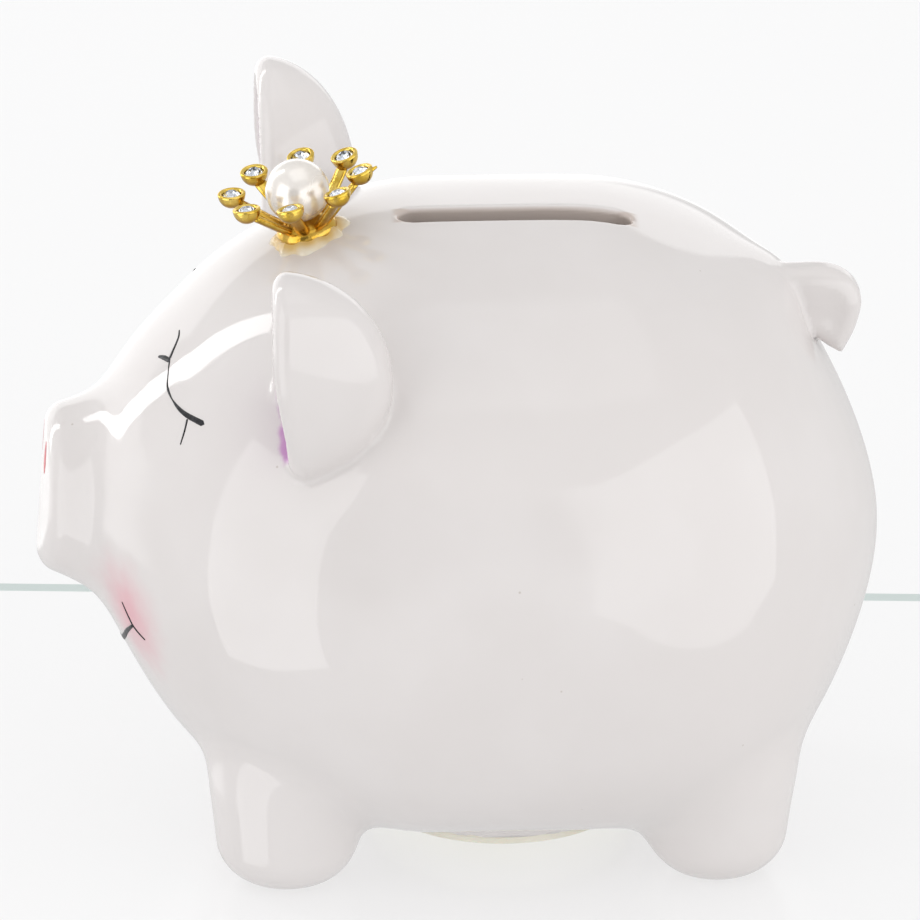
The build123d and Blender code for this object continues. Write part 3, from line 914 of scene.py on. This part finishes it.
crystal_parts, foil_parts = {}, []
for index, stone in enumerate(STONES):
    angle = radians(FIRST_ARM + 45.0 * (int(stone.split("_")[1]) - 1))
    centre = crown_point(angle, CUP_RING, CUP_RIM)
    inner = crown_point(angle, CUP_RING - sin(CUP_LEAN), CUP_RIM + cos(CUP_LEAN)) - centre
    outer = crown_point(angle, CUP_RING + cos(CUP_LEAN), CUP_RIM + sin(CUP_LEAN)) - centre
    rows, faces = lathe(cup_profile, 40)
    gold_parts.append((placed(rows, centre, outer, inner), faces))
    arm = [crown_point(angle, *step) for step in ((2.4, 0.9), (4.6, 2.6), (7.2, 4.9), (9.3, 6.8))]
    widths, heights = np.linspace(2.3, 2.1, 14), np.linspace(1.35, 1.1, 14)
    gold_parts.append(swept(smooth_curve(arm, 14), widths, heights, up=crown_axis))
    turn = 0.35 * index
    gem, facets = brilliant(turn)
    crystal_parts[stone] = (placed(gem, centre, outer, inner), facets)
    rows, faces = lathe(foil_profile, 8)
    spin = np.array([[cos(turn), sin(turn), 0], [-sin(turn), cos(turn), 0], [0, 0, 1]])
    foil_parts.append((placed(np.array(rows) @ spin, centre, outer, inner), faces))
# a small casting spur left on the rear cup
spur = [
    crown_point(radians(FIRST_ARM), CUP_RING + 1.9, CUP_RIM - 0.1),
    crown_point(radians(FIRST_ARM + 2.0), CUP_RING + 2.8, CUP_RIM + 0.1),
]
widths, heights = np.linspace(0.8, 0.35, 6), np.linspace(0.7, 0.35, 6)
gold_parts.append(swept(smooth_curve(spur, 6), widths, heights, up=crown_axis))
make_piece("gold_crown", *joined(gold_parts), GOLD, "bank", "gold", ("crown_frame",))
make_piece("foil_backs", *joined(foil_parts), FOIL, "bank", "crystal", flat=True)
for stone, part in crystal_parts.items():
    make_piece("cut_" + stone, *part, CRYSTAL, "bank", "crystal", (stone,), flat=True)

radius = 0.5 * (pearl_high[2] - pearl_low[2])
bead = [(radius * sin(a), -radius * cos(a)) for a in np.linspace(0.0, pi, 40)]
rows, faces = lathe(bead, 72)
rows = placed(rows, pearl_centre, crown_rear, crown_axis)
make_piece("pearl_bead", rows, faces, PEARL, "bank", "pearl", ("pearl",))

# ------------------------------------------------------------------ glue around the crown's foot
GLUE_HEIGHT = 1.9
rings, sides = 14, 72
sheet = []
for r in range(1, rings + 1):
    for k in range(sides):
        angle = 2.0 * pi * k / sides
        reach = 6.3 + 0.4 * sin(3 * angle + 0.6) + 0.35 * sin(7 * angle) + 0.25 * sin(11 * angle + 2)
        sheet.append(crown_point(angle, reach * r / rings, 0.0))
sheet, lift = settle(skin_form, np.array(sheet), 6)
share = np.repeat(np.arange(1, rings + 1) / rings, sides)
around = np.tile(2.0 * pi * np.arange(sides) / sides, rings)
bead_height = GLUE_HEIGHT * np.clip(1.0 - share**2.4, 0, 1) ** 0.8
bead_height *= 1.0 + 0.2 * np.sin(9 * around) * share
top = sheet + lift * (bead_height[:, None] + 0.01)
under = sheet - lift * 0.12
centre_spot, centre_lift = settle(skin_form, crown_foot[None], 6)
middle_spots = [centre_spot + centre_lift * GLUE_HEIGHT, centre_spot - centre_lift * 0.12]
points = np.concatenate([top, under, *middle_spots])
count = rings * sides
faces = []
for k in range(sides):
    n = (k + 1) % sides
    faces += [(2 * count, k, n), (2 * count + 1, count + n, count + k)]
    for r in range(rings - 1):
        a, b = r * sides, (r + 1) * sides
        faces.append((a + k, b + k, b + n, a + n))
        faces.append((count + a + k, count + a + n, count + b + n, count + b + k))
    last = (rings - 1) * sides
    faces.append((last + k, count + last + k, count + last + n, last + n))
make_piece("glue_spread", points, faces, GLUE, "bank", "glue", ("crown_adhesive",))

# ------------------------------------------------------------------ stopper
low_z, top_z = stopper_low[2], stopper_high[2]
seat_z = RECESS_TOP
corners = [
    (0, low_z + 0.9),
    (5.2, low_z + 0.9),
    (5.6, low_z + 0.45),
    (12.8, low_z + 0.45),
    (13.6, low_z),
    (FLANGE_RADIUS - 0.1, low_z),
    (FLANGE_RADIUS, low_z + 1.0),
    (FLANGE_RADIUS - 0.3, seat_z - 0.05),
    (17.3, seat_z - 0.05),
    (16.8, seat_z + 0.5),
    (16.8, top_z - 3.2),
    (17.4, top_z - 2.0),
    (16.9, top_z),
    (14.9, top_z),
    (14.6, seat_z + 1.0),
    (0, seat_z + 1.0),
]
rows, faces = lathe(rounded(corners, 0.55), 96)
rows = np.array(rows) + np.array([0.0, HOLE_Y, 0.0])
make_piece("soft_plug", rows, faces, PLUG, "plug", "plug", ("stopper",))


# ------------------------------------------------------------------ studio
def stage_mesh(name, points, faces, material):
    mesh = bpy.data.meshes.new(name)
    mesh.from_pydata(points, [], faces)
    mesh.materials.append(material)
    piece = bpy.data.objects.new(name, mesh)
    bpy.context.scene.collection.objects.link(piece)
    piece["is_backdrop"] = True
    return piece


def plain_material(name, colour, roughness):
    material, _, shader = new_material(name)
    shader.inputs["Base Color"].default_value = colour
    shader.inputs["Roughness"].default_value = roughness
    return material, shader


def lit_material(name, colour, glow):
    """A pale sheet that is lit from behind as well."""
    material, shader = plain_material(name, (colour, colour, 1.01 * colour, 1), 0.22)
    shader.inputs["Emission Color"].default_value = (1.0, 1.0, 1.0, 1.0)
    shader.inputs["Emission Strength"].default_value = glow
    return material


# a pale shelf, its far edge, and a backdrop that carries on at the same level
REACH = 3.0
EDGE_X, EDGE_SLOPE, EDGE_WIDTH = -0.0888, -0.073, 0.0029


def edge_at(y, offset):
    """X of the shelf's far edge, which runs at a slight angle."""
    return EDGE_X + offset - EDGE_SLOPE * y


def strip(name, offset_low, offset_high, material, low_x=None, high_x=None):
    """A flat sheet beside the edge line, out to a fixed x where one is given."""
    ends = []
    for y in (-REACH, REACH):
        ends.append((low_x if low_x is not None else edge_at(y, offset_low), y))
        ends.append((high_x if high_x is not None else edge_at(y, offset_high), y))
    points = [(px, py, 0.0) for px, py in ends]
    return stage_mesh(name, points, [(0, 1, 3, 2)], material)


shelf_edge, _ = plain_material("shelf_edge", (0.60, 0.68, 0.66, 1), 0.4)
sheets = [
    strip("floor", EDGE_WIDTH, 0.0, lit_material("pale_acrylic", 0.31, 0.56), high_x=REACH),
    strip("shelf_edge_line", 0.0, EDGE_WIDTH, shelf_edge),
    strip("backdrop", 0.0, 0.0, lit_material("backdrop_sheet", 0.30, 0.57), low_x=-REACH),
]
for sheet in sheets:
    sheet.visible_glossy = False  # the glaze mirrors the open tent, as over a clear shelf

lowest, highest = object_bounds()
middle = 0.5 * (lowest + highest)


def soft_light(name, azimuth, elevation, distance, width, height, power):
    """A rectangular studio light aimed at the middle of the object."""
    data = bpy.data.lights.new(name, "AREA")
    data.shape = "RECTANGLE"
    data.size, data.size_y = width, height
    data.energy = power
    light = bpy.data.objects.new(name, data)
    a, e = radians(azimuth), radians(elevation)
    back = Vector((cos(a) * cos(e), sin(a) * cos(e), sin(e)))
    light.location = middle + back * distance
    light.rotation_euler = back.to_track_quat("Z", "Y").to_euler()
    bpy.context.scene.collection.objects.link(light)
    light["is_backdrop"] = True


# azimuth from +X, the camera's side, towards +Y, the rump; then elevation, distance, width, height, watts
soft_light("right_box", 50.0, 3.5, 1.1, 2.2, 1.24, 8.7)
soft_light("left_box", -58.0, -3.0, 1.1, 0.93, 1.6, 6.0)
soft_light("front_strip", -126.0, 22.0, 1.1, 0.16, 1.0, 2.2)
soft_light("top_box", 20.0, 84.0, 1.3, 1.2, 1.2, 2.0)

world = bpy.data.worlds.new("light_tent")
bpy.context.scene.world = world
world.use_nodes = True
tree = world.node_tree
seen = next(n for n in tree.nodes if n.type == "BACKGROUND")
seen.inputs["Color"].default_value = (1.0, 1.0, 1.0, 1.0)
seen.inputs["Strength"].default_value = 0.955
ray = add_node(tree, "ShaderNodeLightPath").outputs["Is Camera Ray"]
toward = add_node(tree, "ShaderNodeTexCoord").outputs["Generated"]
toward_x, toward_y, toward_z = add_node(tree, "ShaderNodeSeparateXYZ", {0: toward}).outputs


def along_way(direction):
    inputs = {0: toward, 1: direction}
    return add_node(tree, "ShaderNodeVectorMath", inputs, operation="DOT_PRODUCT").outputs["Value"]


def grey(value):
    return (value, value, value, 1)


# the light tent: a shade darker behind the pig and overhead
tent = mix_colour(tree, spread(tree, toward_x, 0.3, -0.35), grey(0.88), grey(0.80))
tent = mix_colour(tree, spread(tree, toward_z, 0.45, 0.8), tent, grey(0.84))
# a bright backdrop behind the pig, with a top edge, an edge beside the rump and a bottom edge
below_top = spread(tree, along_way((-0.36, 0.0, -0.93)), 0.0, 0.03)
beside_rump = spread(tree, along_way((-0.53, -0.848, 0.0)), 0.0, 0.03)
above_shelf = spread(tree, toward_z, -0.12, 0.0)
before_rump = spread(tree, toward_y, 0.18, 0.06)
either = add_node(tree, "ShaderNodeMath", {0: above_shelf, 1: before_rump}, operation="MAXIMUM")
backdrop = multiply(tree, below_top, beside_rump)
backdrop = multiply(tree, backdrop, spread(tree, toward_x, -0.2, -0.4))
backdrop = multiply(tree, backdrop, spread(tree, toward_z, -0.41, -0.35))
backdrop = multiply(tree, backdrop, either.outputs[0])
tent = mix_colour(tree, backdrop, tent, grey(1.65))
# and a darker gap between the two boxes, on the camera's side
gap_way = along_way((0.94, -0.26, 0.12))
tent = mix_colour(tree, spread(tree, gap_way, 0.88, 0.95), tent, grey(0.28))
lit = add_node(tree, "ShaderNodeBackground", {"Color": tent, "Strength": 0.87})
both = add_node(tree, "ShaderNodeMixShader", {0: ray, 1: lit.outputs[0], 2: seen.outputs[0]})
output = next(n for n in tree.nodes if n.type == "OUTPUT_WORLD")
tree.links.new(both.outputs[0], output.inputs["Surface"])

SENSOR_WIDTH = 36.0
CAMERA_DISTANCE = 6.0  # a long lens
VIEW_WIDTH = 0.14375  # metres across the picture at the aim point
camera_data = bpy.data.cameras.new("camera")
camera_data.sensor_width = SENSOR_WIDTH
camera_data.lens = SENSOR_WIDTH * CAMERA_DISTANCE / VIEW_WIDTH
camera_data.clip_start, camera_data.clip_end = 0.05, 20.0
bpy.context.scene.view_settings.view_transform = "Standard"
camera = bpy.data.objects.new("camera", camera_data)
tilt, turn = radians(23.0), radians(2.5)
right = Vector((sin(turn), cos(turn), 0.0))
upward = Vector((-cos(turn) * sin(tilt), sin(turn) * sin(tilt), cos(tilt)))
back = right.cross(upward)
aim = right * 0.0005 + upward * 0.055
turn_to_view = Matrix((right, upward, back)).transposed().to_4x4()
camera.matrix_world = Matrix.Translation(aim + back * CAMERA_DISTANCE) @ turn_to_view
bpy.context.scene.collection.objects.link(camera)
bpy.context.scene.camera = camera
